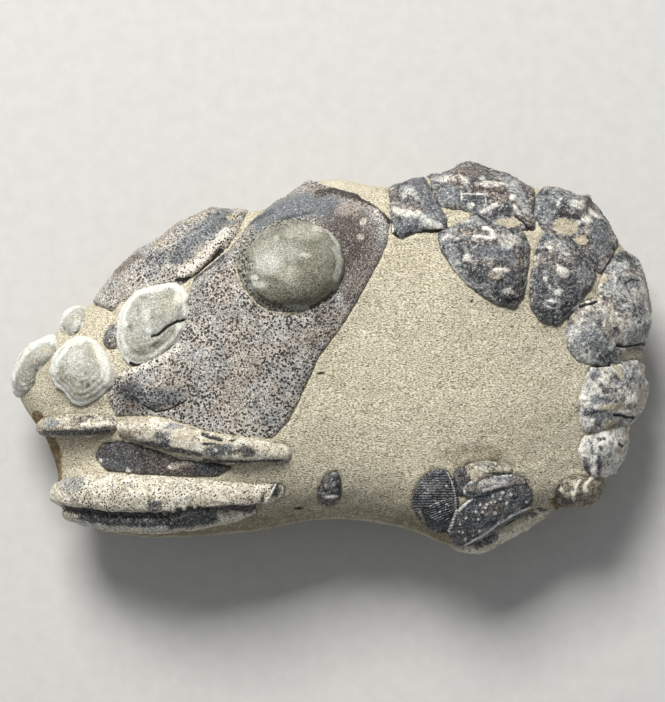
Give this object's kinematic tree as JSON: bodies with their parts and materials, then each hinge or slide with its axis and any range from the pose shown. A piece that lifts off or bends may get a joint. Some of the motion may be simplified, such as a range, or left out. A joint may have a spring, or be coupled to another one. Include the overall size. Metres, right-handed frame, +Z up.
{
  "type": "fossil shrimp in a stone nodule",
  "caption": "Flattish stone nodule laid on its back, with a curled shrimp-like fossil and fossil seashells standing proud of its prepared face.",
  "frame": {"origin": "middle of the object's footprint, in the plane that the stone rests on", "axes": "+X along the stone from the fossil's head to its tail side, +Y towards the fossil's back edge, +Z up out of the prepared face"},
  "size_m": [0.1248, 0.076, 0.0397],
  "materials": {
    "stone": "fine-grained matt beige matrix",
    "shield_shell": "matt grey fossil shell with dark granules",
    "segment_shell": "blue-black fossil shell, slightly glossy, with pale crusts",
    "seashell": "grey-green translucent-looking shell with white rims",
    "claw_shell": "cream and ochre crust with dark shell showing through",
    "fan_shell": "near-black shell with pale dots and borders"
  },
  "bodies": {
    "root": {"stone_matrix": "stone", "carapace": "shield_shell", "carapace_front_lobe": "shield_shell", "shell_large": "seashell", "shell_middle": "seashell", "shell_lower": "seashell", "shell_left": "seashell", "shell_small": "seashell", "dark_grain": "shield_shell", "upper_claw": "claw_shell", "upper_claw_arm": "claw_shell", "middle_leg": "shield_shell", "lower_claw": "claw_shell", "leg_stub": "segment_shell", "abdomen_segment_1": "segment_shell", "abdomen_segment_2": "segment_shell", "abdomen_segment_3": "segment_shell", "abdomen_segment_4": "segment_shell", "abdomen_segment_5": "segment_shell", "abdomen_segment_6": "segment_shell", "tail_root": "claw_shell", "tail_fan_ribbed_lobe": "fan_shell", "tail_fan_wedge": "fan_shell", "tail_fan_pale_plate": "claw_shell", "tail_fan_middle_lobe": "fan_shell", "telson": "fan_shell", "tail_fan_outer_lobe": "claw_shell"}
  },
  "joints": []
}
